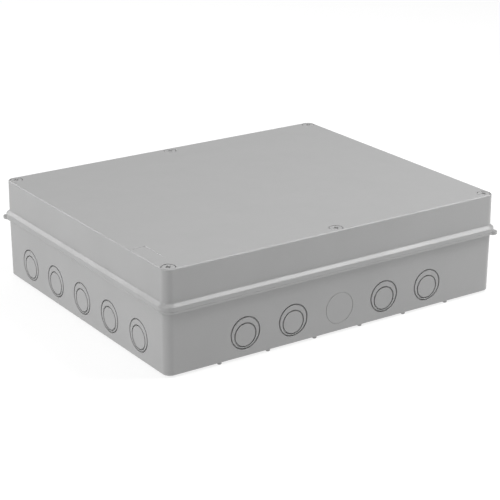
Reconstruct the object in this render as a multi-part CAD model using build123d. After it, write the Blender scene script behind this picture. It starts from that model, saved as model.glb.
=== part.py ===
from build123d import *
import math
import os

# Surface-mounting electrical junction box: a deep moulded base, a deep lid held by six
# screws with raised rims meeting at the split line, moulded-in cable knockouts on every wall.
# Origin: centre of the footprint, on the plane that the feet stand on. X runs along the
# long side, -Y is the front, +Z is up. All sizes in millimetres.

# ---- driving dimensions ----
wall_length = 452.0         # outside of the long walls at the split line
wall_width = 370.0          # outside of the short walls at the split line
total_height = 122.5        # from the feet to the top of the lid
foot_height = 2.5
split_height = 76.5         # where base rim and lid rim meet
wall = 3.0                  # wall, floor and lid thickness
draft = 0.5                 # mould draft of every wall, degrees
corner_radius = 10.0        # outside vertical corners, at the split line
lid_edge_radius = 1.8       # round along the top edge of the lid
floor_edge_radius = 1.6     # round along the bottom edge of the base

rim_overhang = 4.0          # how far both rims stand out from the walls
base_rim_height = 2.7
lid_rim_height = 4.3
rim_edge_radius = 0.8
rim_slope_reach = 3.2       # slope between lid rim and lid wall, measured outwards
rim_slope_rise = 3.7
split_gap = 0.15            # open line between the two rims

tongue_inset = 0.5          # upstand on the base that enters the groove of the lid
tongue_thickness = 1.9
tongue_height = 4.2
groove_clearance = 0.35
groove_depth = 6.2          # above the split line
lip_thickness = 1.6         # inner wall of the lid's groove
lip_lift = 1.0              # its lower edge above the lid rim's
gasket_thickness = 1.4
gasket_side_gap = 0.1

screw_inset = 9.8           # screw axis to outside of the walls, at the split line
head_pocket_diameter = 16.0
head_pocket_depth = 8.0
head_diameter = 14.8
head_height = 6.0
head_sink = 0.3             # head top below the lid top
head_edge_radius = 0.5
cross_length = 5.6          # cross recess in the screw head
cross_width = 1.5
cross_depth = 3.0
shank_diameter = 6.0
shank_reach = 12.0          # how far the shank goes into the pillar
shank_chamfer = 1.0
clearance_bore = 7.2        # hole through the lid column
washer_diameter = 13.0
washer_bore = 6.6
lid_column_diameter = 12.0
pocket_wall = 2.0

pillar_diameter = 13.0      # base columns that take the screws
insert_diameter = 9.0       # threaded brass insert in each pillar
insert_bore = 6.6
insert_length = 13.0
pillar_well_depth = 26.0    # hole in the pillar, below and around the insert

knockout_height = 29.9      # centre of the large knockout above the feet
knockout_pitch = 63.2
knockouts_per_wall = 5
large_knockout = 36.8       # groove centre line
small_knockout = 27.2
small_knockout_drop = 2.4   # small knockout sits lower inside the large one
knockout_groove_width = 1.2
knockout_groove_depth = 1.5

foot_diameter = 5.0
foot_inset = 3.8            # foot axis to outside of the wall
feet_per_side = 6
foot_edge_radius = 0.6

pry_lug_radius = 6.0        # solid lugs on two opposite corners of the base rim
pry_lug_height = 3.6
pry_lug_reach = 12.5        # lug axis from the axis of the corner round
pry_lug_edge_radius = 1.0

fixing_spacing_x = 380.0    # four wall-fixing holes in the floor
fixing_spacing_y = 300.0
fixing_hole = 5.5
fixing_pad_diameter = 20.0
fixing_pad_height = 8.0     # above the floor
fixing_well_diameter = 11.6
fixing_well_depth = 6.5
cap_diameter = 17.0
cap_thickness = 2.0
cap_spigot_diameter = 11.0
cap_spigot_length = 4.0
cap_edge_radius = 0.6
cap_seat_gap = 0.1

boss_spacing_x = 320.0      # four posts for an equipment plate
boss_spacing_y = 240.0
boss_diameter = 9.0
boss_height = 9.0
boss_hole = 3.6
boss_hole_depth = 8.0

label_length = 40.0         # blank sunk field for a marking strip, along Y
label_width = 16.0
label_depth = 0.4
label_inset = 5.0           # field edge to outside of the left wall
label_from_front = 35.5     # field edge to outside of the front wall

# ---- derived sizes ----
floor_top = foot_height + wall
lid_underside = total_height - wall
screw_x = wall_length / 2 - screw_inset
screw_y = wall_width / 2 - screw_inset
rim_top = split_height + lid_rim_height
pocket_floor = total_height - head_pocket_depth
head_top = total_height - head_sink
head_bottom = head_top - head_height
shank_bottom = split_height - shank_reach
groove_outer = tongue_inset - groove_clearance
groove_inner = tongue_inset + tongue_thickness + groove_clearance
groove_top = split_height + groove_depth
fixing_pad_top = floor_top + fixing_pad_height

screw_places = {
    "front_left": (-screw_x, -screw_y),
    "front_middle": (0.0, -screw_y),
    "front_right": (screw_x, -screw_y),
    "back_left": (-screw_x, screw_y),
    "back_middle": (0.0, screw_y),
    "back_right": (screw_x, screw_y),
}
fixing_places = {
    "front_left": (-fixing_spacing_x / 2, -fixing_spacing_y / 2),
    "front_right": (fixing_spacing_x / 2, -fixing_spacing_y / 2),
    "back_left": (-fixing_spacing_x / 2, fixing_spacing_y / 2),
    "back_right": (fixing_spacing_x / 2, fixing_spacing_y / 2),
}


def outline(inset, height):
    """The box's rounded plan at a height, pushed in from the drafted walls by inset."""
    pull = inset + abs(height - split_height) * math.tan(math.radians(draft))
    plan = RectangleRounded(wall_length - 2 * pull, wall_width - 2 * pull, corner_radius - pull)
    return Plane.XY.offset(height) * plan


def drafted_block(inset, low, high):
    """Solid between two heights with sides that follow the drafted walls."""
    return loft([outline(inset, low), outline(inset, high)])


def straight_block(inset, low, high):
    """Solid between two heights with upright sides, sized at the split line."""
    plan = RectangleRounded(wall_length - 2 * inset, wall_width - 2 * inset, corner_radius - inset)
    return extrude(Plane.XY.offset(low) * plan, high - low)


def ring(outer_inset, inner_inset, low, high):
    """Upright frame that follows the walls, between two insets."""
    return straight_block(outer_inset, low, high) - straight_block(inner_inset, low, high)


def rod(place, diameter, low, high):
    """Upright round bar at an (x, y) place."""
    disc = Pos(place[0], place[1], low) * Circle(diameter / 2)
    return extrude(disc, high - low)


def rods(places, diameter, low, high):
    """The same upright bar at several places."""
    bars = Part()
    for place in places:
        bars += rod(place, diameter, low, high)
    return bars


def rectangle_places(spacing_x, spacing_y):
    """Four places on the corners of a rectangle about the origin."""
    return [(x * spacing_x / 2, y * spacing_y / 2) for x in (-1, 1) for y in (-1, 1)]


def row(count, pitch):
    """Evenly spaced positions about zero."""
    return [(i - (count - 1) / 2) * pitch for i in range(count)]


# ---- base ----
def knockout_groove(diameter, drop):
    """Ring-shaped cutter for a knockout, on the YZ plane, reaching from outside into the wall."""
    mean = diameter / 2
    half = knockout_groove_width / 2
    face = Circle(mean + half) - Circle(mean - half)
    return extrude(Plane.YZ * Pos(0, knockout_height - drop) * face, wall)


def wall_knockouts(half_span, double):
    """Cutters for one wall that faces +X: a row of knockouts, doubled where the flag says so."""
    start = half_span - knockout_groove_depth
    cutters = Part()
    for y, both in zip(row(knockouts_per_wall, knockout_pitch), double):
        cutters += Pos(start, y, 0) * knockout_groove(large_knockout, 0)
        if both:
            cutters += Pos(start, y, 0) * knockout_groove(small_knockout, small_knockout_drop)
    return cutters


def all_knockouts():
    """Cutters for the four walls; the middle one of each long wall is a single ring."""
    pull = (split_height - knockout_height) * math.tan(math.radians(draft))
    short_wall = wall_knockouts(wall_length / 2 - pull, [True] * knockouts_per_wall)
    middle = knockouts_per_wall // 2
    long_flags = [i != middle for i in range(knockouts_per_wall)]
    long_wall = wall_knockouts(wall_width / 2 - pull, long_flags)
    cutters = Part()
    for angle, cutter in ((0, short_wall), (180, short_wall), (90, long_wall), (-90, long_wall)):
        cutters += Rot(0, 0, angle) * cutter
    return cutters


def base_rim():
    """Rim around the top of the base, with rounded lower edge."""
    low = split_height - base_rim_height
    band = straight_block(-rim_overhang, low, split_height)
    return fillet(band.edges().group_by(Axis.Z)[0], rim_edge_radius)


def pry_lugs():
    """Solid lugs that widen the base rim at the front-right and back-left corners."""
    shift = pry_lug_reach / math.sqrt(2)
    x = wall_length / 2 - corner_radius + shift
    y = wall_width / 2 - corner_radius + shift
    lugs = Part()
    for side in (1, -1):
        lug = rod((side * x, -side * y), 2 * pry_lug_radius, split_height - pry_lug_height, split_height)
        lugs += fillet(lug.edges().group_by(Axis.Z)[0], pry_lug_edge_radius)
    return lugs


def feet():
    """Short round feet in a row under each long wall."""
    y = wall_width / 2 - foot_inset
    pads = Part()
    for side in (-1, 1):
        for x in row(feet_per_side, knockout_pitch):
            foot = rod((x, side * y), foot_diameter, 0, floor_top)
            pads += fillet(foot.edges().group_by(Axis.Z)[0], foot_edge_radius)
    return pads


def base_shell():
    """Outer skin of the base with rim, lugs and feet, and the main hollow cut out."""
    body = drafted_block(0, foot_height, split_height)
    body = fillet(body.edges().group_by(Axis.Z)[0], floor_edge_radius)
    body = body + base_rim() + pry_lugs() + feet()
    return body - drafted_block(wall, floor_top, split_height + wall)


def base():
    """The whole base moulding."""
    body = base_shell()
    pillars = rods(screw_places.values(), pillar_diameter, foot_height + wall / 2, split_height)
    pillars += rods(fixing_places.values(), fixing_pad_diameter, foot_height + wall / 2, fixing_pad_top)
    posts = rectangle_places(boss_spacing_x, boss_spacing_y)
    boss_top = floor_top + boss_height
    pillars += rods(posts, boss_diameter, foot_height + wall / 2, boss_top)
    body += pillars
    body += ring(tongue_inset, tongue_inset + tongue_thickness, split_height - wall, split_height + tongue_height)
    body -= rods(screw_places.values(), insert_diameter, split_height - insert_length, split_height)
    body -= rods(screw_places.values(), insert_bore, split_height - pillar_well_depth, split_height)
    body -= rods(fixing_places.values(), fixing_hole, 0, fixing_pad_top)
    body -= rods(fixing_places.values(), fixing_well_diameter, fixing_pad_top - fixing_well_depth, fixing_pad_top)
    body -= rods(posts, boss_hole, boss_top - boss_hole_depth, boss_top)
    return body - all_knockouts()


def screw_insert():
    """Six threaded brass inserts, one in each pillar; the thread is drawn as its plain bore."""
    low = split_height - insert_length
    sleeves = rods(screw_places.values(), insert_diameter, low, split_height)
    return sleeves - rods(screw_places.values(), insert_bore, low, split_height)


def fixing_cap(place):
    """Push-in cap that covers one wall-fixing screw."""
    low = fixing_pad_top + cap_seat_gap
    disc = rod(place, cap_diameter, low, low + cap_thickness)
    disc = fillet(disc.edges().group_by(Axis.Z)[-1], cap_edge_radius)
    return disc + rod(place, cap_spigot_diameter, low - cap_spigot_length, low)


# ---- lid ----
def lid_rim():
    """Rim around the foot of the lid: rounded edge, then a slope up to the wall."""
    low = split_height + split_gap
    band = straight_block(-rim_overhang, low, rim_top)
    band = fillet(band.edges().group_by(Axis.Z)[-1], rim_edge_radius)
    skirt = loft([outline(-rim_slope_reach, rim_top), outline(0, rim_top + rim_slope_rise)])
    return band, skirt


def lid_columns(outer):
    """Columns and head pockets that stand inside the lid at each screw, kept inside the skin."""
    low = split_height + split_gap
    floor = pocket_floor - pocket_wall
    columns = rods(screw_places.values(), lid_column_diameter, low, total_height)
    columns += rods(screw_places.values(), head_pocket_diameter + 2 * pocket_wall, floor, total_height)
    return columns & outer


def label_field():
    """Cutter for the blank sunk field near the front-left corner of the lid."""
    x = -wall_length / 2 + label_inset + label_width / 2
    y = -wall_width / 2 + label_from_front + label_length / 2
    return Pos(x, y, total_height) * Box(label_width, label_length, 2 * label_depth)


def lid():
    """The whole lid moulding."""
    low = split_height + split_gap
    outer = drafted_block(0, low, total_height)
    outer = fillet(outer.edges().group_by(Axis.Z)[-1], lid_edge_radius)
    band, skirt = lid_rim()
    hollow = drafted_block(wall, low, lid_underside)
    body = outer + band + skirt - hollow
    lip = ring(groove_inner, groove_inner + lip_thickness, low + lip_lift, groove_top + wall)
    body = body + lip + lid_columns(outer)
    body -= ring(groove_outer, groove_inner, low, groove_top)
    body -= rods(screw_places.values(), head_pocket_diameter, pocket_floor, total_height)
    body -= rods(screw_places.values(), clearance_bore, low, pocket_floor)
    return body - label_field()


def lid_gasket():
    """Endless sealing strip at the top of the groove in the lid."""
    outer = groove_outer + gasket_side_gap
    inner = groove_inner - gasket_side_gap
    return ring(outer, inner, groove_top - gasket_thickness, groove_top)


# ---- lid screws ----
def cross_recess(place):
    """Cutter for the cross recess of one screw head."""
    deep = 2 * cross_depth
    arm = Box(cross_length, cross_width, deep) + Box(cross_width, cross_length, deep)
    return Pos(place[0], place[1], head_top) * arm


def lid_screw(place):
    """Plastic lid screw: wide flat head, long plain shank; the thread is left out."""
    head = rod(place, head_diameter, head_bottom, head_top)
    head = fillet(head.edges().group_by(Axis.Z)[-1], head_edge_radius)
    shank = rod(place, shank_diameter, shank_bottom, head_bottom)
    shank = chamfer(shank.edges().group_by(Axis.Z)[0], shank_chamfer)
    return head + shank - cross_recess(place)


def screw_washer(place):
    """Sealing washer between screw head and pocket floor, which also keeps the screw in the lid."""
    body = rod(place, washer_diameter, pocket_floor, head_bottom)
    return body - rod(place, washer_bore, pocket_floor, head_bottom)


def save(part, name):
    part.label = name
    export_step(part, f"parts/{name}.step")


os.makedirs("parts", exist_ok=True)
save(base(), "base")
save(lid(), "lid")
save(lid_gasket(), "lid_gasket")
save(screw_insert(), "screw_inserts")
for name, place in screw_places.items():
    save(lid_screw(place), f"lid_screw_{name}")
    save(screw_washer(place), f"screw_washer_{name}")
for name, place in fixing_places.items():
    save(fixing_cap(place), f"fixing_cap_{name}")
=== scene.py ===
# %% [markdown]
# # An electrical junction box
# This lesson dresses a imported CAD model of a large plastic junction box. The CAD frame says
# where every piece is and how it moves. Blender gives each piece its real surface: rounded
# moulding edges, knockout grooves, screw threads and the finish of each material.

# %% Load the frame
from math import atan2, cos, pi, radians, sin, tan

import bmesh
import bpy
from mathutils import Matrix, Quaternion, Vector


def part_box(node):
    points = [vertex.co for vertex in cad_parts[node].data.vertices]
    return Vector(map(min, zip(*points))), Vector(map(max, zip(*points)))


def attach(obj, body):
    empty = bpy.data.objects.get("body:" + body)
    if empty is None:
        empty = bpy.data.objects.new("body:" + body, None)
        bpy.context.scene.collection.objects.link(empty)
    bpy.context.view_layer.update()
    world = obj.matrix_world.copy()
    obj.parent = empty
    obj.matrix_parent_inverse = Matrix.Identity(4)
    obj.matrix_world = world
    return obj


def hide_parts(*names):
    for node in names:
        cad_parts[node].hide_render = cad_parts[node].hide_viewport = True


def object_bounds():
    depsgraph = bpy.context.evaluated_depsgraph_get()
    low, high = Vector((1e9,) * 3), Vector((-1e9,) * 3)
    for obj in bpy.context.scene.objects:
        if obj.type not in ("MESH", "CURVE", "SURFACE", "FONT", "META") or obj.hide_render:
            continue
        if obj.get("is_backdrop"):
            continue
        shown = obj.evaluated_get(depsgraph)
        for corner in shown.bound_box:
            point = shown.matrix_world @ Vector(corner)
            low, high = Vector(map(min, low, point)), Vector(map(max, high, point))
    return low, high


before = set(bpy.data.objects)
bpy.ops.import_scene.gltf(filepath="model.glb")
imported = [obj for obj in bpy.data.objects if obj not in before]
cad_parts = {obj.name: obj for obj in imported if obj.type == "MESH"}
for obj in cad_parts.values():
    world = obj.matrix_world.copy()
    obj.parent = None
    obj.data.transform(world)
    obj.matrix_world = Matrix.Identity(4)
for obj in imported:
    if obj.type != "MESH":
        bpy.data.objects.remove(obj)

cad_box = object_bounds()
MM = 0.001               # one millimetre in metres, Blender's unit
size_mm = [round(side / MM, 1) for side in cad_box[1] - cad_box[0]]
print("its box is", size_mm, "mm")

# %% [markdown]
# ## Camera, floor and light
# The box is seen from its front-left corner through a long lens, which keeps its edges almost
# parallel. It stands on a light table, a frosted white sheet lit a little from below, so that
# nothing around it takes the eye. Five soft square lamps light the box. The left and the
# overhead lamp make the short wall and the lid light, and the right and the low lamp leave the
# front wall a tone darker, so that the corner reads clearly. The back lamp glances off the
# rounded edges and the flare, and draws them as light lines. A sixth lamp keeps the far floor
# white. One big lamp above the camera would be simpler, but it would flatten every groove.

# %% Camera
camera_place = Vector((-1.0202, -1.5130, 0.7205))
camera_azimuth = radians(-34.10)
camera_elevation = radians(20.40)
camera_roll = radians(0.12)
lens_mm = 116.5          # on Blender's usual 36 mm sensor

towards_camera = Vector((
    sin(camera_azimuth) * cos(camera_elevation),
    -cos(camera_azimuth) * cos(camera_elevation),
    sin(camera_elevation),
))
camera = bpy.data.objects.new("camera", bpy.data.cameras.new("camera"))
camera.data.lens = lens_mm
camera.location = camera_place
camera.rotation_mode = "QUATERNION"
level = (-towards_camera).to_track_quat("-Z", "Y")
camera.rotation_quaternion = level @ Quaternion((0, 0, 1), camera_roll)
bpy.context.collection.objects.link(camera)
bpy.context.scene.camera = camera
print("camera is", round(camera_place.length, 2), "m from the box, lens", lens_mm, "mm")

# %% Colours
def linear(hex_colour):
    """A colour written as sRGB hex, as the linear RGBA that shaders use."""
    channels = [int(hex_colour[i:i + 2], 16) / 255 for i in (1, 3, 5)]
    return [c / 12.92 if c <= 0.04045 else ((c + 0.055) / 1.055) ** 2.4 for c in channels] + [1.0]


# The Mix node has sockets for every kind of data. These are the places of its colour sockets.
MIX_A, MIX_B, MIX_COLOUR = 6, 7, 2


def add_node(tree, kind, settings={}, inputs={}):
    """Adds a shader node. Each input is a plain value, or the output socket to link to it."""
    made = tree.nodes.new(kind)
    for key, value in settings.items():
        setattr(made, key, value)
    for key, value in inputs.items():
        if isinstance(value, bpy.types.NodeSocket):
            tree.links.new(value, made.inputs[key])
        else:
            made.inputs[key].default_value = value
    return made


print("linear value of the middle grey #808080:", round(linear("#808080")[0], 3))

# %% Lamps and world
def soft_lamp(name, place, aim, side, watts):
    """A square area lamp of the given side at a place, turned towards a point."""
    lamp = bpy.data.objects.new(name, bpy.data.lights.new(name, "AREA"))
    lamp.data.size = side
    lamp.data.energy = watts
    lamp.location = place
    lamp.rotation_mode = "QUATERNION"
    lamp.rotation_quaternion = (Vector(aim) - Vector(place)).to_track_quat("-Z", "Y")
    bpy.context.collection.objects.link(lamp)


box_middle = (0, 0, 0.05)
lid_middle = (0, 0, 0.1)
soft_lamp("left_lamp", place=(-2.2, -0.1, 1.5), aim=box_middle, side=1.2, watts=31)
soft_lamp("overhead_lamp", place=(-0.6, -0.1, 2.8), aim=box_middle, side=1.4, watts=20)
soft_lamp("right_lamp", place=(0.95, -0.62, 1.5), aim=(0.1, 0, 0.1), side=0.7, watts=21)
soft_lamp("low_lamp", place=(0.9, -0.75, 0.6), aim=(0.1, 0, 0.05), side=0.5, watts=3.5)
soft_lamp("back_lamp", place=(-1.2, 2.2, 1.05), aim=lid_middle, side=0.9, watts=22)
soft_lamp("floor_lamp", place=(1.2, 2.0, 2.6), aim=(1.2, 2.0, 0), side=2.5, watts=36)

fill_strength = 0.05     # just enough that the grooves don't go black
world = bpy.data.worlds.new("white_room")
world.use_nodes = True
background = world.node_tree.nodes["Background"]
background.inputs["Color"].default_value = linear("#FFFFFF")
background.inputs["Strength"].default_value = fill_strength
bpy.context.scene.world = world
bpy.context.scene.view_settings.view_transform = "Standard"    # greys stay as the hex values say

# %% Floor
def start_material(name):
    """A new material: returns it with its node tree, its shader and its Object coordinates."""
    material = bpy.data.materials.new(name)
    material.use_nodes = True
    tree = material.node_tree
    coords = add_node(tree, "ShaderNodeTexCoord").outputs["Object"]
    return material, tree, tree.nodes["Principled BSDF"], coords


def tint(tree, shader, factor, first, second):
    """Mixes two hex colours by a factor socket into the shader's base colour."""
    tone = add_node(tree, "ShaderNodeMix", {"data_type": "RGBA"},
                    {"Factor": factor, MIX_A: linear(first), MIX_B: linear(second)})
    tree.links.new(tone.outputs[MIX_COLOUR], shader.inputs["Base Color"])


def frosted_acrylic(name):
    """A white light table: the frosted top scatters all gloss, and the sheet glows from below."""
    material, tree, shader, coords = start_material(name)
    cloud = add_node(tree, "ShaderNodeTexNoise", {}, {"Vector": coords, "Scale": 3.0})
    tint(tree, shader, cloud.outputs["Fac"], "#8E8E8E", "#8C8C8C")
    shader.inputs["Roughness"].default_value = 0.95
    shader.inputs["Specular IOR Level"].default_value = 0.1
    shader.inputs["Emission Color"].default_value = linear("#FFFFFF")
    shader.inputs["Emission Strength"].default_value = 0.75
    return material


floor_half = 6.0
floor_gap = 0.05 * MM    # keeps the floor clear of the flat undersides of the feet
bm = bmesh.new()
bmesh.ops.create_grid(bm, x_segments=1, y_segments=1, size=floor_half)
bmesh.ops.translate(bm, vec=(0, 0, -floor_gap), verts=bm.verts)
floor_mesh = bpy.data.meshes.new("floor")
bm.to_mesh(floor_mesh)
bm.free()
floor = bpy.data.objects.new("floor", floor_mesh)
floor_mesh.materials.append(frosted_acrylic("acrylic_white_frosted"))
bpy.context.collection.objects.link(floor)
floor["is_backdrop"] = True
print("floor is", 2 * floor_half, "m square")

# %% [markdown]
# ## Sizes from the frame
# The CAD boxes give the places. Typing every place again would work too, but places read from
# the frame follow each change of the CAD model. The walls stand back from the rims by the
# overhang. They lean in by the mould draft of half a degree, which lets each moulding leave its
# tool.

# %% Sizes
base_low, base_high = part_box("base")
lid_low, lid_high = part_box("lid")
screw_names = ["front_left", "front_middle", "front_right", "back_left", "back_middle", "back_right"]
cap_names = ["front_left", "front_right", "back_left", "back_right"]


def middle(node):
    """The (x, y) centre of a CAD node."""
    low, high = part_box(node)
    return ((low.x + high.x) / 2, (low.y + high.y) / 2)


screw_places = {name: middle(f"lid_screw_{name}") for name in screw_names}
cap_places = {name: middle(f"fixing_cap_{name}") for name in cap_names}

wall = 3.0 * MM
overhang = 4.0 * MM      # how far the rims stand out of the walls
split_gap = 0.15 * MM    # between the two rims
corner_radius = 10.0 * MM
lid_top = lid_high.z
split = lid_low.z - split_gap
tongue_top = base_high.z
half_x = lid_high.x - overhang
half_y = lid_high.y - overhang
foot_height = 2.5 * MM
base_under = base_low.z + foot_height
floor_top = base_under + wall
draft = tan(radians(0.5))


def lean(height):
    """How far the draft has brought the walls in at a height."""
    return abs(height - split) * draft


print("walls", round(2 * half_x / MM), "x", round(2 * half_y / MM), "mm")
print("split at", round(split / MM, 2), "mm")

# %% [markdown]
# ## A moulding carried round the box
# Base and lid have the same cross-section all the way round, so each starts as one drawn
# section. A wire holds the section's corners, a vertex bevel rounds them, and spin and extrude
# carry the wire round the rounded rectangle: a quarter turn, a straight, four times. The two
# open ends of the section close into the flat top and the flat ceiling.

# %% Section tools
def draw_wire(bm, points, place, closed=False, steps=4):
    """A wire through (across, up, round) points; place turns across and up into a 3-D point."""
    verts = [bm.verts.new(place(p[0], p[1])) for p in points]
    for a, b in zip(verts, verts[1:]):
        bm.edges.new((a, b))
    if closed:
        bm.edges.new((verts[-1], verts[0]))
    for vert, point in zip(verts, points):
        if len(point) > 2:
            bmesh.ops.bevel(bm, geom=[vert], offset=point[2], offset_type="OFFSET", segments=steps,
                            profile=0.5, affect="VERTICES", material=-1)
    return list(bm.verts) + list(bm.edges)


def carry_round(bm, points, corner_steps=12):
    """Carries a section of (inset, height, round) points round the box."""
    corner_x = half_x - corner_radius
    corner_y = half_y - corner_radius
    geom = draw_wire(bm, points, lambda inset, height: (corner_x, -half_y + inset, height))
    straights = [(0, 2 * corner_y, 0), (-2 * corner_x, 0, 0), (0, -2 * corner_y, 0), (2 * corner_x, 0, 0)]
    signs = [(1, -1), (1, 1), (-1, 1), (-1, -1)]
    for (side_x, side_y), straight in zip(signs, straights):
        centre = (side_x * corner_x, side_y * corner_y, 0)
        turned = bmesh.ops.spin(bm, geom=geom, cent=centre, axis=(0, 0, 1), angle=pi / 2,
                                steps=corner_steps)
        edges = [g for g in turned["geom_last"] if isinstance(g, bmesh.types.BMEdge)]
        geom = bmesh.ops.extrude_edge_only(bm, edges=edges)["geom"]
        bmesh.ops.translate(bm, vec=straight, verts=[g for g in geom if isinstance(g, bmesh.types.BMVert)])
        geom = [g for g in geom if not isinstance(g, bmesh.types.BMFace)]
    bmesh.ops.remove_doubles(bm, verts=bm.verts, dist=0.01 * MM)


def close_up(bm):
    """Fills every open loop, and turns all faces outwards."""
    bmesh.ops.holes_fill(bm, edges=[e for e in bm.edges if e.is_boundary], sides=0)
    bmesh.ops.recalc_face_normals(bm, faces=bm.faces)


def lathe(bm, points, centre=(0, 0), steps=48, closed=False, round_steps=4):
    """Adds to bm a (radius, height, round) section turned about an upright axis, as a closed solid."""
    turned = bmesh.new()
    geom = draw_wire(turned, points, lambda radius, height: (radius, 0, height), closed, round_steps)
    bmesh.ops.spin(turned, geom=geom, cent=(0, 0, 0), axis=(0, 0, 1), angle=2 * pi, steps=steps,
                   use_merge=True)
    bmesh.ops.remove_doubles(turned, verts=turned.verts, dist=0.005 * MM)
    bmesh.ops.recalc_face_normals(turned, faces=turned.faces)
    bmesh.ops.translate(turned, vec=(centre[0], centre[1], 0), verts=turned.verts)
    mesh = bpy.data.meshes.new("turned")
    turned.to_mesh(mesh)
    turned.free()
    first = len(bm.verts)
    bm.from_mesh(mesh)
    bpy.data.meshes.remove(mesh)
    bm.verts.ensure_lookup_table()
    return bm.verts[first:]


trial = bmesh.new()
lathe(trial, [(0, 0), (MM, 0), (MM, MM), (0, MM)])
print("a lathed disc has", len(trial.faces), "faces")
trial.free()

# %% [markdown]
# ## From bmesh to finished piece
# A turned stud or a cutter is a closed solid, and a boolean unites it with the tray or cuts it
# away, as a tool maker adds inserts to a mould. The manifold solver is the right one here,
# because every solid is closed, and it keeps all of them closed. Each finished piece is hung on
# the body that carries it, and the CAD node it stands for is hidden.

# %% Piece tools
def as_object(bm, name):
    """A bmesh as an object at the origin, with its place in its mesh."""
    mesh = bpy.data.meshes.new(name)
    bm.to_mesh(mesh)
    bm.free()
    made = bpy.data.objects.new(name, mesh)
    bpy.context.collection.objects.link(made)
    return made


def settle(piece):
    """Applies a piece's modifiers to its mesh."""
    graph = bpy.context.evaluated_depsgraph_get()
    piece.data = bpy.data.meshes.new_from_object(piece.evaluated_get(graph))
    piece.modifiers.clear()


def combine(piece, other_bm, operation):
    """Unites a piece with, or cuts from it, the closed solids of a bmesh."""
    tool = as_object(other_bm, "tool")
    boolean = piece.modifiers.new(operation.lower(), "BOOLEAN")
    boolean.operation = operation
    boolean.solver = "MANIFOLD"
    boolean.object = tool
    settle(piece)
    bpy.data.objects.remove(tool)


def dress(piece, material, body, node, smooth_angle=35):
    """Gives a finished piece its shading and material, hangs it on its body and hides the CAD node it
    stands for.
    """
    mesh = piece.data
    mesh.materials.clear()
    mesh.materials.append(material)
    mesh.shade_smooth()
    mesh.set_sharp_from_angle(angle=radians(smooth_angle))
    weighted = piece.modifiers.new("even_normals", "WEIGHTED_NORMAL")
    weighted.keep_sharp = True
    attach(piece, body)
    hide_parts(node)
    closed = bmesh.new()
    closed.from_mesh(mesh)
    open_edges = sum(not edge.is_manifold for edge in closed.edges)
    closed.free()
    print(piece.name, "has", len(mesh.polygons), "faces and", open_edges, "open edges, rides on", body)


# %% [markdown]
# ## Finishes
# The box is an injection-moulded thermoplastic in light grey. The tool's spark-eroded steel
# leaves a fine, even grain that makes it matt, and the flow of the melt leaves a very faint
# cloudiness. A flat grey would do from afar, but the grain is what breaks up the gloss close by,
# so each plastic has its grain as a bump and its cloudiness in colour and gloss.

# %% Moulded plastic
def moulded_plastic(name, colour, shade, roughness, grain_mm, grain_depth_mm):
    """Matt moulded plastic: cloudy colour, uneven gloss, a fine grain and slow sink waves."""
    material, tree, shader, coords = start_material(name)
    cloud_mm = 70.0
    cloud = add_node(tree, "ShaderNodeTexNoise", {},
                     {"Vector": coords, "Scale": 1 / (cloud_mm * MM), "Detail": 3.0, "Roughness": 0.55})
    speck_mm = 1.6
    speck = add_node(tree, "ShaderNodeTexNoise", {},
                     {"Vector": coords, "Scale": 1 / (speck_mm * MM), "Detail": 2.0, "Roughness": 0.6})
    both = add_node(tree, "ShaderNodeMath", {"operation": "MULTIPLY_ADD"},
                    {0: speck.outputs["Fac"], 1: 0.35, 2: cloud.outputs["Fac"]})
    mask = add_node(tree, "ShaderNodeMapRange", {},
                    {"Value": both.outputs["Value"], "From Min": 0.45, "From Max": 0.95})
    tint(tree, shader, mask.outputs["Result"], colour, shade)
    spread = 0.07
    gloss = add_node(tree, "ShaderNodeMapRange", {},
                     {"Value": cloud.outputs["Fac"],
                      "To Min": roughness - spread, "To Max": roughness + spread})
    tree.links.new(gloss.outputs["Result"], shader.inputs["Roughness"])
    grain = add_node(tree, "ShaderNodeTexNoise", {},
                     {"Vector": coords, "Scale": 1 / (grain_mm * MM), "Detail": 2.0, "Roughness": 0.7})
    wave_mm = 55.0
    wave_depth = 0.25 * MM
    wave = add_node(tree, "ShaderNodeTexNoise", {},
                    {"Vector": coords, "Scale": 1 / (wave_mm * MM), "Detail": 0.0})
    slow = add_node(tree, "ShaderNodeBump", {},
                    {"Height": wave.outputs["Fac"], "Strength": 1.0, "Distance": wave_depth})
    fine = add_node(tree, "ShaderNodeBump", {},
                    {"Height": grain.outputs["Fac"], "Strength": 0.6, "Distance": grain_depth_mm * MM,
                     "Normal": slow.outputs["Normal"]})
    tree.links.new(fine.outputs["Normal"], shader.inputs["Normal"])
    shader.inputs["IOR"].default_value = 1.52
    return material


# Real spark-eroded grain is about 0.1 mm wide. It is drawn several times coarser, so that it shows.
# ABS from a spark-eroded tool: an even, slightly soft matt grey, with wide dull highlights.
shell_plastic = moulded_plastic("abs_light_grey_spark_eroded", "#A2A2A2", "#9E9E9E",
                                roughness=0.40, grain_mm=0.8, grain_depth_mm=0.05)
# Polyamide from a smoother tool: the screw heads catch a tighter, brighter highlight.
screw_plastic = moulded_plastic("polyamide_grey_smooth_moulded", "#A4A4A4", "#9F9F9F",
                                roughness=0.34, grain_mm=0.6, grain_depth_mm=0.02)
# Polypropylene: a shade lighter and waxier than the floor of the box round it.
cap_plastic = moulded_plastic("polypropylene_grey_satin_moulded", "#A9A9A9", "#A3A3A3",
                              roughness=0.38, grain_mm=0.7, grain_depth_mm=0.03)
print("plastics:", [m.name for m in (shell_plastic, screw_plastic, cap_plastic)])
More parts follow.
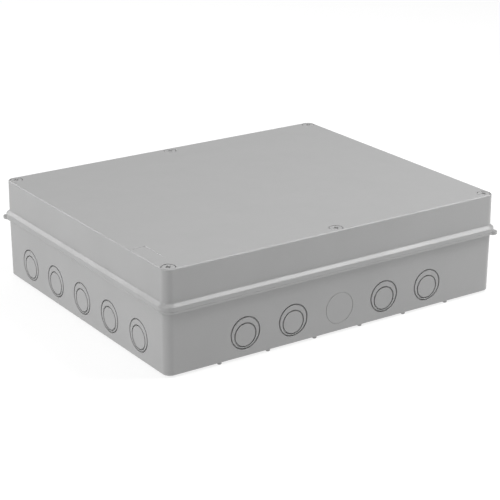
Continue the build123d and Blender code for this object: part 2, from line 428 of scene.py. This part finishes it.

# %% [markdown]
# The seals and inserts show only when the lid is off. Black rubber swallows light, so its pores
# are drawn in relief and also darker in colour: the dark pits are painted shade. Brass is a
# metal, so its colour tints all that it reflects, and fine tool rings stretch each reflection up and down.

# %% Rubber and brass
def soft_rubber(name, colour, shade, roughness, pore_mm):
    """Black sealing rubber with open pores, each pit painted darker as painted shade."""
    material, tree, shader, coords = start_material(name)
    pore_depth = 0.1 * MM
    pores_and_pit_shade = add_node(tree, "ShaderNodeTexVoronoi", {}, {"Vector": coords, "Scale": 1 / (pore_mm * MM)})
    # The pore pits are darker in colour as well as sunk: painted shade.
    tint(tree, shader, pores_and_pit_shade.outputs["Distance"], shade, colour)
    pit = add_node(tree, "ShaderNodeBump", {},
                   {"Height": pores_and_pit_shade.outputs["Distance"], "Strength": 0.5, "Distance": pore_depth})
    tree.links.new(pit.outputs["Normal"], shader.inputs["Normal"])
    shader.inputs["Roughness"].default_value = roughness
    return material


def turned_brass(name):
    """Turned brass: fine tool rings about the upright axis and a slightly tarnished colour."""
    material, tree, shader, coords = start_material(name)
    ring_mm = 0.987      # real tool rings are finer, and would not show
    ring_depth = 0.03 * MM
    wave_period = pi / 10    # of Blender's wave bands at scale 1
    rings = add_node(tree, "ShaderNodeTexWave", {"bands_direction": "Z"},
                     {"Vector": coords, "Scale": wave_period / (ring_mm * MM), "Distortion": 1.0})
    tarnish_mm = 3.0
    tarnish = add_node(tree, "ShaderNodeTexNoise", {},
                       {"Vector": coords, "Scale": 1 / (tarnish_mm * MM)})
    tint(tree, shader, tarnish.outputs["Fac"], "#D9B868", "#B48F45")
    cut = add_node(tree, "ShaderNodeBump", {},
                   {"Height": rings.outputs["Fac"], "Strength": 0.3, "Distance": ring_depth})
    tree.links.new(cut.outputs["Normal"], shader.inputs["Normal"])
    shader.inputs["Metallic"].default_value = 1.0
    shader.inputs["Roughness"].default_value = 0.32
    return material


# Neoprene foam: dull black, with pores drawn wide enough to show as a speckle of painted shade in their
# pits.
gasket_rubber = soft_rubber("neoprene_black_foamed", "#26272A", "#0E0E10", roughness=0.8, pore_mm=0.9)
# Solid nitrile: a denser black with a faint sheen, and finer pores with painted shade in their pits.
washer_rubber = soft_rubber("nitrile_black_moulded", "#1E1E20", "#101012", roughness=0.6, pore_mm=0.5)
# Turned brass: the only warm colour in the box, with sharp glints.
insert_brass = turned_brass("brass_turned")
print("rubber and brass:", gasket_rubber.name, washer_rubber.name, insert_brass.name)

# %% [markdown]
# ## The lid
# The lid is a deep tray turned upside down. Its section runs from the flat of the top, over the
# rounded edge and down the wall, out along the sloped flare to the rim, under the rim into the
# sealing groove, round the inner lip and up the inside to the ceiling. Drawing the section is
# surer than bevelling a finished box, because each rounding has its own size. Columns for the
# screws are united with it, then the head pockets and the sunk label field are cut out.

# %% Lid section
rim_top = split + 4.3 * MM
slope_top = rim_top + 3.9 * MM      # where the flare meets the wall
groove_top = split + 6.2 * MM       # the bottom of the sealing groove, which is upside down
lip_low = lid_low.z + 1.0 * MM      # the inner lip stays clear of the base
groove_outer = 0.15 * MM
groove_inner = 2.75 * MM
lip_inner = groove_inner + 1.6 * MM
lid_ceiling = lid_top - wall
flat_start = 9.0 * MM               # inset at which the section stops and the flat begins
edge_round = 1.8 * MM               # the lid's upper edge, which shows as a light line
inner_round = 1.5 * MM
soft_round = 1.0 * MM
rim_round = 0.8 * MM
mid_round = 0.5 * MM
small_round = 0.4 * MM
tiny_round = 0.3 * MM
fine_round = 0.2 * MM
hair_round = 0.12 * MM              # at the split, which must stay a fine dark line

lid_section = [
    (flat_start, lid_top),
    (lean(lid_top), lid_top, edge_round),
    (lean(slope_top), slope_top, soft_round),
    (-overhang, rim_top + 0.3 * MM, rim_round),
    (-overhang, lid_low.z, hair_round),
    (groove_outer, lid_low.z, tiny_round),
    (groove_outer, groove_top, tiny_round),
    (groove_inner, groove_top, tiny_round),
    (groove_inner, lip_low, tiny_round),
    (lip_inner, lip_low, tiny_round),
    (lip_inner, groove_top + wall, soft_round),
    (wall + lean(groove_top), groove_top + 1.5 * wall, soft_round),
    (wall + lean(lid_ceiling), lid_ceiling, inner_round),
    (flat_start, lid_ceiling),
]
bm = bmesh.new()
carry_round(bm, lid_section)
close_up(bm)
lid = as_object(bm, "lid_moulding")
print("lid tray:", len(lid.data.polygons), "faces")

# %% Lid columns and pockets
pocket_radius = 8.0 * MM
pocket_floor = lid_top - 8.0 * MM
column_radius = 6.0 * MM
column_low = lid_low.z + 0.2 * MM
column_top = lid_ceiling + 0.5 * MM        # columns end inside the top, so that they join it
cup_radius = pocket_radius + 1.2 * MM      # the column's wider head, which holds the pocket
cup_low = pocket_floor - 2.0 * MM
neck_top = pocket_floor - 4.0 * MM
bore_radius = 3.6 * MM
pocket_lip = 0.45 * MM                     # the rounding of the pocket's edge
above = 2.0 * MM                           # how far a cutter stands clear of what it cuts
cutter_radius = pocket_radius + 1.5 * MM
lip_lift = 0.01 * MM                       # a cutter's lip ends just above the face it rounds

columns = bmesh.new()
pockets = bmesh.new()
for place in screw_places.values():
    lathe(columns, [
        (0, column_low),
        (column_radius, column_low, tiny_round),
        (column_radius, neck_top, soft_round),
        (cup_radius, cup_low, rim_round),
        (cup_radius, column_top),
        (0, column_top),
    ], place)
    lathe(pockets, [
        (0, lid_low.z - above),
        (bore_radius, lid_low.z - above),
        (bore_radius, pocket_floor, fine_round),
        (pocket_radius, pocket_floor, small_round),
        (pocket_radius, lid_top + lip_lift, pocket_lip),
        (cutter_radius, lid_top + lip_lift),
        (cutter_radius, lid_top + above),
        (0, lid_top + above),
    ], place, steps=64)
combine(lid, columns, "UNION")
print("lid with columns:", len(lid.data.polygons), "faces")

# %% Label field
label_depth = 0.4 * MM
label_inset = Vector((5.0 * MM, 35.5 * MM))              # from the lid's front-left corner
label_low = Vector((label_inset.x - half_x, label_inset.y - half_y, lid_top - label_depth))
label_size = Vector((16.0 * MM, 40.0 * MM, 3.0 * MM))    # of the cutter, which stands out of the top
label_flare = 2.3 * MM                                   # slopes its sides, so that they catch light
label_corner = 1.5 * MM
field = bmesh.ops.create_cube(pockets, size=1.0)["verts"]
bmesh.ops.scale(pockets, vec=label_size, verts=field)
wider = Vector((1 + 2 * label_flare / label_size.x, 1 + 2 * label_flare / label_size.y, 1))
bmesh.ops.scale(pockets, vec=wider, verts=[v for v in field if v.co.z > 0])
bmesh.ops.translate(pockets, vec=label_low + label_size / 2, verts=field)
upright = [e for e in pockets.edges
           if e.verts[0] in field and abs(e.verts[0].co.z - e.verts[1].co.z) > MM]
bmesh.ops.bevel(pockets, geom=upright, offset=label_corner, offset_type="OFFSET", segments=5,
                profile=0.5, affect="EDGES", material=-1)
combine(lid, pockets, "DIFFERENCE")
dress(lid, shell_plastic, "lid", "lid")

# %% [markdown]
# ## The base
# The base is made the same way: one section carried round, with the upstand that enters the
# lid's groove. Screw pillars, fixing pads, plate posts, feet and the two corner lugs are
# united with it. Every wall then gets its knockouts: ring grooves that leave a thin web, which
# an electrician breaks out for a cable entry. Most are double, with the smaller ring set low
# inside the larger one; the middle of each long wall has only a faint marked circle. A bump
# would draw the rings as well from the front, but a cut groove has a shadow from every side.

# %% Base section
rim_under = split - 2.7 * MM
under_round = 0.6 * MM              # where the rim meets the wall below it
floor_round = 2.0 * MM
tongue_outer = 0.5 * MM
tongue_inner = 2.4 * MM

base_section = [
    (flat_start, base_under),
    (lean(base_under), base_under, rim_round),
    (lean(rim_under), rim_under, under_round),
    (-overhang, rim_under, rim_round),
    (-overhang, split, hair_round),
    (tongue_outer, split, fine_round),
    (tongue_outer, tongue_top, small_round),
    (tongue_inner, tongue_top, small_round),
    (tongue_inner, split, fine_round),
    (wall, split, tiny_round),
    (wall + lean(floor_top), floor_top, floor_round),
    (flat_start, floor_top),
]
bm = bmesh.new()
carry_round(bm, base_section)
close_up(bm)
base = as_object(bm, "base_moulding")
print("base tray:", len(base.data.polygons), "faces")

# %% Pillars, pads, posts, feet and lugs
pillar_radius = 6.5 * MM
pad_radius = 10.0 * MM
pad_top = floor_top + 8.0 * MM
post_radius = 4.5 * MM
post_top = floor_top + 9.0 * MM
post_x = 160.0 * MM
post_y = 120.0 * MM
foot_radius = 2.5 * MM
foot_round = 0.6 * MM
foot_y = half_y - 3.8 * MM
foot_count = 6
pitch = 63.2 * MM                   # of the feet and of the knockouts
sunk = floor_top - 1.5 * MM         # studs start inside the floor, so that they join it
lug_radius = 6.0 * MM
lug_height = 3.6 * MM


def row(count, spacing):
    """Evenly spaced positions about zero."""
    return [(i - (count - 1) / 2) * spacing for i in range(count)]


def stud(bm, place, radius, low, high, low_round=0.0, high_round=0.0, steps=48):
    """A round post with rounded ends."""
    lathe(bm, [
        (0, low),
        (radius, low, low_round) if low_round else (radius, low),
        (radius, high, high_round) if high_round else (radius, high),
        (0, high),
    ], place, steps)


studs = bmesh.new()
for place in screw_places.values():
    stud(studs, place, pillar_radius, sunk, split - 0.1 * MM, high_round=mid_round)
for place in cap_places.values():
    stud(studs, place, pad_radius, sunk, pad_top, high_round=rim_round)
post_places = [(x * post_x, y * post_y) for x in (-1, 1) for y in (-1, 1)]
for place in post_places:
    stud(studs, place, post_radius, sunk, post_top, high_round=small_round)
for x in row(foot_count, pitch):
    for side in (-1, 1):
        stud(studs, (x, side * foot_y), foot_radius, base_low.z, sunk, low_round=foot_round, steps=24)
lug_x = base_high.x - lug_radius
lug_y = base_high.y - lug_radius
for side in (-1, 1):
    stud(studs, (side * lug_x, -side * lug_y), lug_radius, split - lug_height, split - 0.05 * MM,
         low_round=soft_round, high_round=tiny_round)
combine(base, studs, "UNION")
print("base with studs:", len(base.data.polygons), "faces")

# %% Cutters for the base
insert_radius = 4.5 * MM
insert_length = 13.0 * MM
bore_bottom = split - 26.0 * MM
screw_bore = 3.3 * MM
fixing_bore = 2.75 * MM             # for a wall screw of 5 mm
well_radius = 5.8 * MM              # for the cap over it
well_floor = pad_top - 6.5 * MM
well_cutter = well_radius + 1.2 * MM
post_bore = 1.8 * MM
post_bore_low = post_top - 8.0 * MM
holes = bmesh.new()
for place in screw_places.values():
    lathe(holes, [
        (0, bore_bottom),
        (screw_bore, bore_bottom, soft_round),
        (screw_bore, split - insert_length),
        (insert_radius, split - insert_length),
        (insert_radius, split + above),
        (0, split + above),
    ], place)
for place in cap_places.values():
    lathe(holes, [
        (0, base_under - above),
        (fixing_bore, base_under - above),
        (fixing_bore, well_floor, tiny_round),
        (well_radius, well_floor, tiny_round),
        (well_radius, pad_top + lip_lift, tiny_round),
        (well_cutter, pad_top + lip_lift),
        (well_cutter, pad_top + above),
        (0, pad_top + above),
    ], place)
for place in post_places:
    lathe(holes, [
        (0, post_bore_low),
        (post_bore, post_bore_low),
        (post_bore, post_top + above),
        (0, post_top + above),
    ], place, steps=24)
print("screw, fixing and post holes:", len(holes.faces), "faces")

# %% Knockouts
ring_count = 5
ring_centre = base_low.z + 29.9 * MM
large_ring = 18.4 * MM              # radius of the middle of the groove
small_ring = 13.6 * MM
small_drop = 2.4 * MM
groove_depth = 2.2 * MM
large_width = 1.6 * MM
small_width = 1.5 * MM
faint_width = 0.8 * MM
faint_depth = 0.35 * MM


def ring_groove(bm, radius, width, depth, wall_half, along, drop, turn):
    """Adds a ring groove's cutter to bm: made flat, stood up against the wall, then turned to it."""
    inner = radius - width / 2
    outer = radius + width / 2
    lip = min(0.25 * MM, depth / 3)
    flare = lip + 0.02 * MM
    bottom = min(width, depth) / 4
    verts = lathe(bm, [
        (inner, -depth, bottom),
        (outer, -depth, bottom),
        (outer, lip_lift, lip),
        (outer + flare, lip_lift),
        (outer + flare, MM),
        (inner - flare, MM),
        (inner - flare, lip_lift),
        (inner, lip_lift, lip),
    ], steps=72, closed=True, round_steps=3)
    height = ring_centre - drop
    stand = Matrix.Translation((wall_half - lean(height), along, height))
    stand = Matrix.Rotation(turn, 4, "Z") @ stand @ Matrix.Rotation(pi / 2 + atan2(draft, 1), 4, "Y")
    bmesh.ops.transform(bm, matrix=stand, verts=verts)


for turn, wall_half in ((0, half_x), (pi, half_x), (pi / 2, half_y), (-pi / 2, half_y)):
    for along in row(ring_count, pitch):
        if along == 0 and wall_half == half_y:
            ring_groove(holes, large_ring, faint_width, faint_depth, wall_half, along, 0, turn)
        else:
            ring_groove(holes, large_ring, large_width, groove_depth, wall_half, along, 0, turn)
            ring_groove(holes, small_ring, small_width, groove_depth, wall_half, along, small_drop, turn)
combine(base, holes, "DIFFERENCE")
dress(base, shell_plastic, "base", "base")

# %% [markdown]
# ## Gasket, inserts and washers
# The gasket is a foam strip that fills the groove of the lid, and the base's upstand presses
# into it. The inserts are turned brass sleeves in the pillars, because a thread in the plastic
# itself would soon wear out. Each washer is a flat rubber ring that seals a screw and keeps it
# in the lid. The strip is a section carried round, and the rest are turned on the lathe.

# %% Gasket
gasket_low, gasket_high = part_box("lid_gasket")
gasket_outer = half_x - gasket_high.x
gasket_inner = groove_inner - 0.1 * MM
middle_inset = (gasket_outer + gasket_inner) / 2
bm = bmesh.new()
carry_round(bm, [
    (middle_inset, gasket_high.z),
    (gasket_outer, gasket_high.z, small_round),
    (gasket_outer, gasket_low.z, mid_round),
    (gasket_inner, gasket_low.z, mid_round),
    (gasket_inner, gasket_high.z, small_round),
    (middle_inset, gasket_high.z),
])
bmesh.ops.recalc_face_normals(bm, faces=bm.faces)
gasket = as_object(bm, "sealing_strip")
dress(gasket, gasket_rubber, "lid", "lid_gasket")

# %% Brass inserts
insert_low, insert_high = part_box("screw_inserts")
crests = 3
crest_depth = 0.35 * MM
step = (insert_high.z - insert_low.z) / crests
sleeve = [(insert_radius, insert_low.z, small_round), (insert_radius, insert_high.z, fine_round)]
for i in range(crests):
    top = insert_high.z - i * step
    sleeve += [
        (screw_bore, top),
        (screw_bore, top - 0.55 * step),
        (screw_bore + crest_depth, top - 0.75 * step),
    ]
sleeve += [(screw_bore, insert_low.z)]
bm = bmesh.new()
for place in screw_places.values():
    lathe(bm, sleeve, place, closed=True)
inserts = as_object(bm, "brass_inserts")
dress(inserts, insert_brass, "base", "screw_inserts", smooth_angle=30)

# %% Washers
washer_bore = 3.3 * MM
for name, place in screw_places.items():
    low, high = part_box(f"screw_washer_{name}")
    outer = (high.x - low.x) / 2
    bm = bmesh.new()
    lathe(bm, [
        (washer_bore, low.z, tiny_round),
        (outer, low.z, mid_round),
        (outer, high.z, mid_round),
        (washer_bore, high.z, tiny_round),
    ], place, closed=True)
    washer = as_object(bm, f"sealing_washer_{name}")
    dress(washer, washer_rubber, f"screw_washer_{name}", f"screw_washer_{name}")

# %% [markdown]
# ## Lid screws
# Each screw has a wide flat head that sits just under the lid's surface, a cross recess, a long
# plain shank and a coarse thread at its tip. Head and shank are one turned section. The thread
# is a small section spun with a rise in each step, which makes a true helix; stacked rings would
# be quicker, but they would not climb when the screw turns. The recess is two crossed wedges,
# cut from the head.

# %% One screw at the origin
screw_low, screw_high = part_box("lid_screw_front_left")
head_radius = (screw_high.x - screw_low.x) / 2
head_under = screw_high.z - 6.0 * MM
shank_radius = 2.7 * MM             # where the thread is cut
thread_radius = 3.0 * MM            # over the thread, and of the plain shank above it
tip_radius = shank_radius - 0.6 * MM
tip_top = screw_low.z + 1.2 * MM
threaded_top = screw_low.z + 12.5 * MM
plain_low = screw_low.z + 13.5 * MM
head_face = head_radius - 0.2 * MM

bm = bmesh.new()
lathe(bm, [
    (0, screw_low.z),
    (tip_radius, screw_low.z, tiny_round),
    (shank_radius, tip_top),
    (shank_radius, threaded_top),
    (thread_radius, plain_low),
    (thread_radius, head_under, tiny_round),
    (head_radius, head_under, small_round),
    (head_face, screw_high.z, mid_round),
    (0, screw_high.z),
], steps=64)
screw_shape = as_object(bm, "screw_shape")
print("head and shank:", len(screw_shape.data.polygons), "faces")

# %% Thread
thread_lead = 3.5 * MM
thread_turns = 3
steps_per_turn = 24
ridge_place = screw_low.z + 1.4 * MM
ridge_root = shank_radius - 0.3 * MM
root_half = 0.8 * MM
crest_half = 0.15 * MM
thread = bmesh.new()
ridge = draw_wire(thread, [
    (ridge_root, ridge_place - root_half),
    (thread_radius, ridge_place - crest_half),
    (thread_radius, ridge_place + crest_half),
    (ridge_root, ridge_place + root_half),
], lambda radius, height: (radius, 0, height), closed=True)
bmesh.ops.spin(thread, geom=ridge, cent=(0, 0, 0), axis=(0, 0, 1), angle=2 * pi * thread_turns,
               steps=steps_per_turn * thread_turns, dvec=(0, 0, thread_lead / steps_per_turn))
close_up(thread)
combine(screw_shape, thread, "UNION")
print("shank with thread:", len(screw_shape.data.polygons), "faces")

# %% Cross recess
recess_deep = 4.0 * MM
recess_long = 7.4 * MM
recess_wide = 2.4 * MM
taper = (0.5, 0.8, 1)               # of the deep end, so that a driver centres itself
for turn in (0, pi / 2):
    wedge = bmesh.new()
    bmesh.ops.create_cube(wedge, size=1.0)
    bmesh.ops.scale(wedge, vec=(recess_long, recess_wide, recess_deep + MM), verts=wedge.verts)
    bmesh.ops.scale(wedge, vec=taper, verts=[v for v in wedge.verts if v.co.z < 0])
    bmesh.ops.rotate(wedge, cent=(0, 0, 0), matrix=Matrix.Rotation(turn, 3, "Z"), verts=wedge.verts)
    bmesh.ops.translate(wedge, vec=(0, 0, screw_high.z + (MM - recess_deep) / 2), verts=wedge.verts)
    combine(screw_shape, wedge, "DIFFERENCE")
print("one screw:", len(screw_shape.data.polygons), "faces")

# %% Six screws
for name, place in screw_places.items():
    mesh = screw_shape.data.copy()
    mesh.transform(Matrix.Translation((place[0], place[1], 0)))
    screw = bpy.data.objects.new(f"screw_{name}", mesh)
    bpy.context.collection.objects.link(screw)
    dress(screw, screw_plastic, f"lid_screw_{name}", f"lid_screw_{name}")
bpy.data.objects.remove(screw_shape)

# %% [markdown]
# ## Fixing caps
# Four caps cover the wall screws, so that no live wire can touch one. Each cap is a small
# mushroom: a flat head with a rounded edge on a hollow spigot, which plugs into its well. It is
# round all over, so one turned section makes it.

# %% Caps
spigot = 5.5 * MM
spigot_wall = 1.2 * MM
lead_in = 0.4 * MM                  # narrows the spigot's end, which guides it into the well
bead_height = 1.2 * MM              # the widest place, which holds the cap by friction
bead_step = 0.25 * MM
head_thick = 2.0 * MM
head_slope = 3.0 * MM               # the head falls off over this width
head_drop = 0.5 * MM
hollow_under = 1.6 * MM             # from the top of the head to the ceiling of the hollow
for name, place in cap_places.items():
    low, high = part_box(f"fixing_cap_{name}")
    outer = (high.x - low.x) / 2
    seat = high.z - head_thick
    bm = bmesh.new()
    lathe(bm, [
        (0, high.z - hollow_under),
        (spigot - spigot_wall, high.z - hollow_under, small_round),
        (spigot - spigot_wall, low.z, tiny_round),
        (spigot - lead_in, low.z, tiny_round),
        (spigot, low.z + bead_height, small_round),
        (spigot - bead_step, seat),
        (outer, seat, tiny_round),
        (outer, high.z - head_drop, mid_round),
        (outer - head_slope, high.z, soft_round),
        (0, high.z),
    ], place)
    cap = as_object(bm, f"cap_{name}")
    dress(cap, cap_plastic, f"fixing_cap_{name}", f"fixing_cap_{name}")

# %% [markdown]
# ## Finish
# The visual model must keep to the CAD model's box, so the gap between the two boxes is printed.

# %% Sizes and finish
shown_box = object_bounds()
for corner, shown, drawn in zip(("lowest", "highest"), shown_box, cad_box):
    past = [round((a - b) / MM, 2) for a, b in zip(shown, drawn)]
    print(corner, "corner of the visual box minus that of the CAD box, mm:", past)
